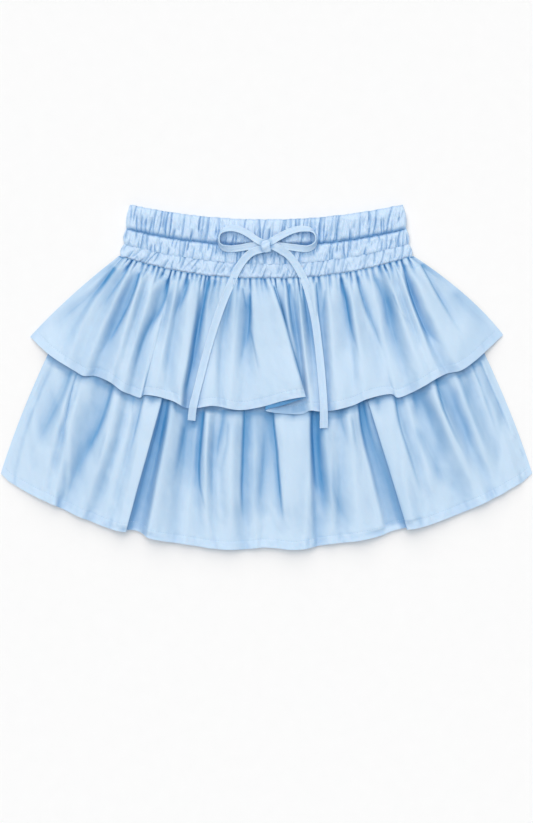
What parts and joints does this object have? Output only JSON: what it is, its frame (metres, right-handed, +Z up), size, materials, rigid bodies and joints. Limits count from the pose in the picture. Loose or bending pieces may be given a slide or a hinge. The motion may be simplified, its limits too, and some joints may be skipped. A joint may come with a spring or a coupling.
{
  "type": "skort",
  "caption": "Light-blue two-tier ruffled skort lying flat, with a shirred elastic waist and a tied self-fabric bow.",
  "frame": {"origin": "on the surface it lies on, under the centre of the garment's outline, the tie's tails not counted", "axes": "+X across the garment to the right as seen from above, +Y towards the waist, +Z up from the surface"},
  "size_m": [0.6399, 0.4159, 0.0245],
  "materials": {
    "tier_cloth": "satin",
    "waist_cloth": "satin",
    "shorts_cloth": "satin",
    "tie_cloth": "satin"
  },
  "bodies": {
    "root": {"waist_casing_front": "waist_cloth", "waist_casing_back": "waist_cloth", "waist_shirring_front": "waist_cloth", "waist_shirring_back": "waist_cloth", "upper_tier_front": "tier_cloth", "upper_tier_back": "tier_cloth", "yoke_front": "tier_cloth", "yoke_back": "tier_cloth", "lower_tier_front": "tier_cloth", "lower_tier_back": "tier_cloth", "shorts_left_front": "shorts_cloth", "shorts_left_back": "shorts_cloth", "shorts_right_front": "shorts_cloth", "shorts_right_back": "shorts_cloth", "bow_knot": "tie_cloth", "bow_loop_left": "tie_cloth", "bow_loop_right": "tie_cloth", "bow_tail_left": "tie_cloth", "bow_tail_right": "tie_cloth"}
  },
  "joints": []
}
